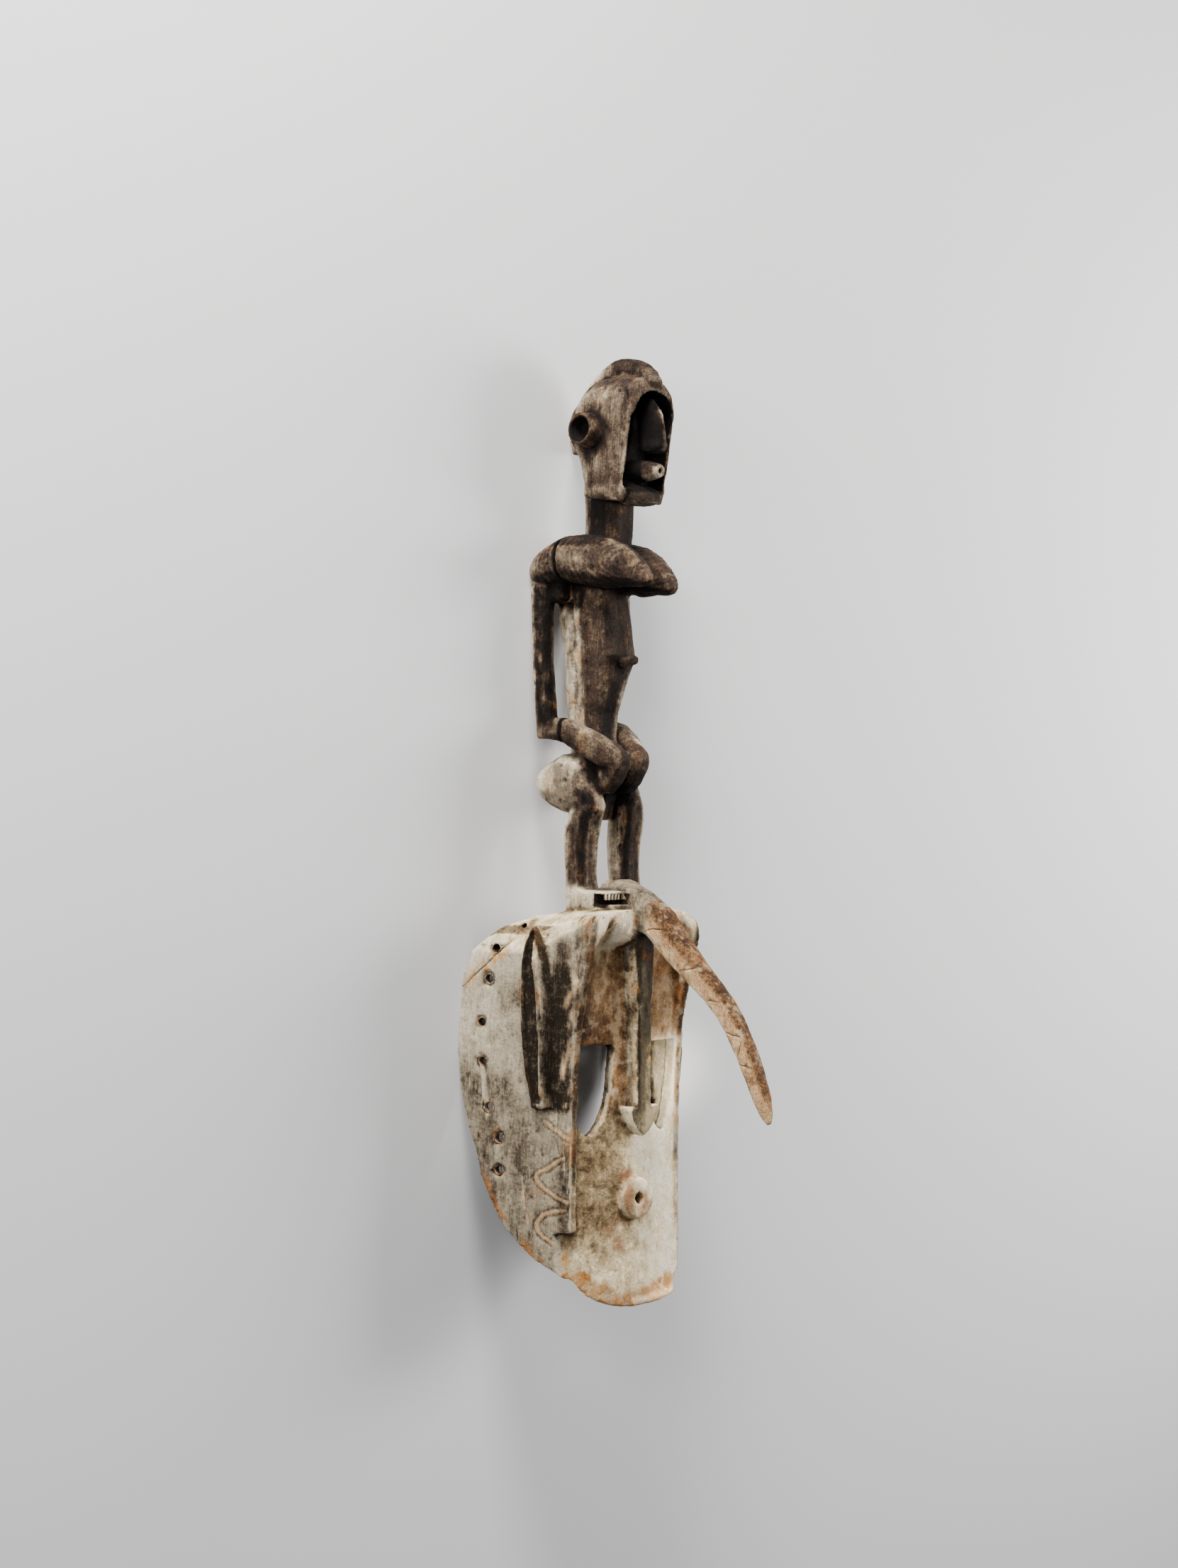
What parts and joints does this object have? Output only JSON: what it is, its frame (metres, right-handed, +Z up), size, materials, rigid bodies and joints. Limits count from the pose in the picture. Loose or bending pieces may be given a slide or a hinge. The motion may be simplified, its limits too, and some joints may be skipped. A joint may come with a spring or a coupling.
{
  "type": "carved wooden mask",
  "caption": "Carved wooden face mask, open at the back, with a curved hornbill's beak and a standing female figure on top; it lies on its back.",
  "frame": {"origin": "centre of the bounding box's underside, on the floor that the mask lies on", "axes": "+Z up, out of the carved face as the mask lies; +Y along the length, from the chin to the figure's head; -X to the mask's own right"},
  "size_m": [0.2138, 0.8714, 0.291],
  "materials": {
    "wood_body": "dry weathered wood with grey patina, pale kaolin on the face and the beak, orange bare wood on worn edges",
    "wood_arm": "dry weathered wood with dark grey-brown patina"
  },
  "bodies": {
    "root": {"mask_with_figure": "wood_body", "refitted_right_arm": "wood_arm"}
  },
  "joints": []
}
